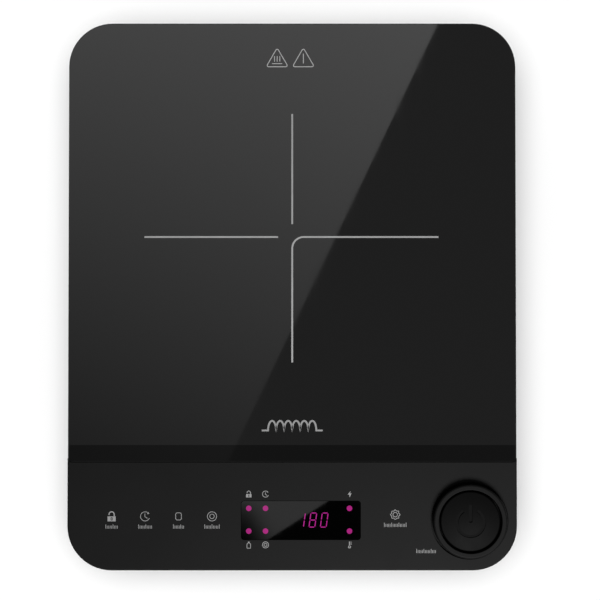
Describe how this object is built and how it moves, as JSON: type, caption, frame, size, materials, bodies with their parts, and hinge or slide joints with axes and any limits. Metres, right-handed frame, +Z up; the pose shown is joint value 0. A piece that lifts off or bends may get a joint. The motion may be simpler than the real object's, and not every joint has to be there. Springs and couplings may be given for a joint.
{
  "type": "electric induction cooktop",
  "caption": "Portable single-zone induction cooktop with a flush black glass plate, a touch panel, a raised dial and a push button.",
  "frame": {"origin": "middle of the footprint, on the surface that the feet stand on", "axes": "+Z up, the control panel towards -Y, +X to the user's right"},
  "size_m": [0.285, 0.348, 0.0595],
  "materials": {
    "case_plastic": "fine moulded texture, black",
    "deck_plastic": "satin black with a fine moulded grain",
    "black_glass": "polished opaque black glass ceramic",
    "smoked_window": "polished smoked window",
    "foot_rubber": "matt black rubber",
    "seal_silicone": "cured black silicone bead",
    "plate_foil": "blank satin foil",
    "screw_steel": "zinc-plated steel",
    "dial_plastic": "satin black",
    "button_plastic": "satin black",
    "spring_steel": "bright spring wire",
    "white_nylon": "natural nylon",
    "black_moulding": "black engineering plastic",
    "board_green": "green solder mask",
    "board_tan": "tan paper-phenolic board",
    "digit_face": "grey-black face with segments",
    "led_lens": "tinted clear resin",
    "chip_epoxy": "black epoxy",
    "litz_copper": "enamelled copper strands",
    "ferrite": "sintered dark grey",
    "mica": "pressed mica sheet",
    "sensor_rubber": "white silicone",
    "sensor_glass": "glass bead",
    "sink_aluminium": "extruded, plain finish",
    "capacitor_box": "yellow film-capacitor case",
    "capacitor_sleeve": "dark shrink sleeve",
    "transformer_tape": "yellow tape over ferrite",
    "fuse_glass": "glass tube with plated caps",
    "stator_steel": "steel laminations",
    "ribbon_pvc": "grey ribbon",
    "lead_insulation": "silicone insulation"
  },
  "bodies": {
    "housing": {"aux_transformer": "transformer_tape", "bottom_case": "case_plastic", "bridge_rectifier": "chip_epoxy", "button_guide": "white_nylon", "button_spring": "spring_steel", "buzzer": "black_moulding", "case_screws": "screw_steel", "choke_core": "ferrite", "choke_winding": "litz_copper", "coil_former": "black_moulding", "coil_lead_inner": "lead_insulation", "coil_lead_outer": "lead_insulation", "coil_screws": "screw_steel", "coil_springs": "spring_steel", "coil_terminals": "litz_copper", "cord_gland": "foot_rubber", "digit_display": "digit_face", "display_board": "board_green", "display_screws": "screw_steel", "display_window": "smoked_window", "electrolytic_capacitors": "capacitor_sleeve", "encoder_body": "black_moulding", "fan_frame": "black_moulding", "fan_lead": "lead_insulation", "fan_screws": "screw_steel", "fan_stator": "stator_steel", "ferrite_bars": "ferrite", "film_capacitors": "capacitor_box", "foot_front_left": "foot_rubber", "foot_front_right": "foot_rubber", "foot_rear_left": "foot_rubber", "foot_rear_right": "foot_rubber", "glass_plate": "black_glass", "glass_seal": "seal_silicone", "heat_sink": "sink_aluminium", "igbt": "chip_epoxy", "indicator_leds": "led_lens", "induction_coil": "litz_copper", "light_shield": "white_nylon", "mains_fuse": "fuse_glass", "mains_leads": "lead_insulation", "mica_sheet": "mica", "power_board": "board_tan", "power_board_screws": "screw_steel", "rating_plate": "plate_foil", "ribbon_cable": "ribbon_pvc", "sensor_holder": "sensor_rubber", "sensor_lead": "lead_insulation", "tact_switch": "black_moulding", "terminal_block": "white_nylon", "thermistor": "sensor_glass", "top_frame": "deck_plastic", "touch_controller": "chip_epoxy", "touch_springs": "spring_steel", "wire_connectors": "white_nylon"},
    "dial": {"dial_ring": "dial_plastic", "encoder_rotor": "white_nylon"},
    "button": {"power_button": "button_plastic", "tact_plunger": "black_moulding"},
    "fan": {"fan_rotor": "black_moulding"}
  },
  "joints": [
    {"name": "dial_turn", "type": "hinge", "parent": "housing", "child": "dial", "pos_m": [0.1124, -0.1425, 0.052], "axis": [0, 0, 1], "continuous": true},
    {"name": "button_press", "type": "slide", "parent": "housing", "child": "button", "axis": [0, 0, -1], "range_m": [0, 0.0012], "stiffness_N_per_m": 600, "springref_m": -0.0015, "deforming": ["button_spring"]},
    {"name": "fan_spin", "type": "hinge", "parent": "housing", "child": "fan", "pos_m": [-0.084, -0.056, 0.02], "axis": [0, 0, 1], "continuous": true}
  ]
}
